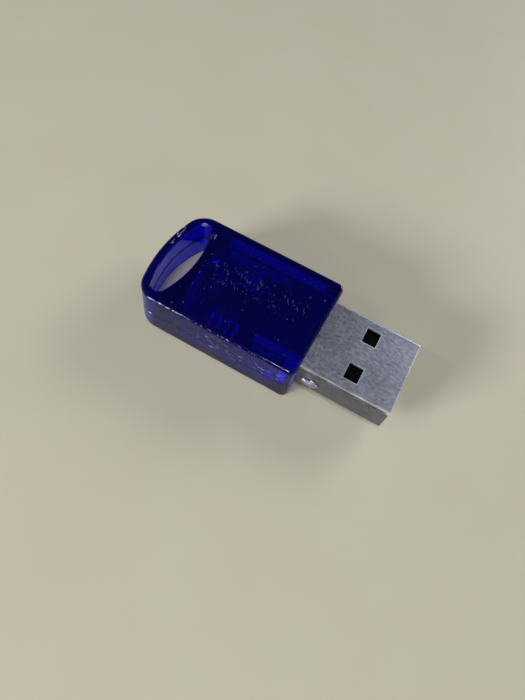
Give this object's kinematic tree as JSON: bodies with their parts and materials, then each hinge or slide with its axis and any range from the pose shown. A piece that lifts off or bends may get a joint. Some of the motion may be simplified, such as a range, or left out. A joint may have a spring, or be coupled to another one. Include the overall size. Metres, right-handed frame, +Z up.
{
  "type": "usb flash drive",
  "caption": "Small capless USB drive with a see-through blue plastic case, a bare metal plug and a lens-shaped keyring hole at the far end.",
  "frame": {"origin": "on the underside of the case, below the middle of the whole object's box", "axes": "+X along the plug from the keyring end to the plug's mouth, +Y across, +Z up through the case's top face"},
  "size_m": [0.0376, 0.0164, 0.0071],
  "materials": {
    "case_plastic": "gloss, see-through blue",
    "plug_steel": "scratched plated steel",
    "tongue_plastic": "matt black",
    "contact_gold": "gold plated",
    "board_laminate": "green solder mask",
    "chip_black": "moulded epoxy",
    "lead_tin": "tin plated",
    "crystal_ceramic": "ceramic",
    "capacitor_tan": "ceramic",
    "resistor_black": "coated ceramic"
  },
  "bodies": {
    "root": {"top_shell": "case_plastic", "bottom_shell": "case_plastic", "plug_shell": "plug_steel", "plug_tongue": "tongue_plastic", "contact_power": "contact_gold", "contact_data_minus": "contact_gold", "contact_data_plus": "contact_gold", "contact_ground": "contact_gold", "circuit_board": "board_laminate", "main_chip": "chip_black", "chip_lead_1": "lead_tin", "chip_lead_2": "lead_tin", "chip_lead_3": "lead_tin", "chip_lead_4": "lead_tin", "chip_lead_5": "lead_tin", "chip_lead_6": "lead_tin", "chip_lead_7": "lead_tin", "chip_lead_8": "lead_tin", "crystal_base": "crystal_ceramic", "crystal_lid": "lead_tin", "capacitor_1": "capacitor_tan", "capacitor_2": "capacitor_tan", "capacitor_3": "capacitor_tan", "resistor_1": "resistor_black", "resistor_2": "resistor_black", "resistor_3": "resistor_black"}
  },
  "joints": []
}
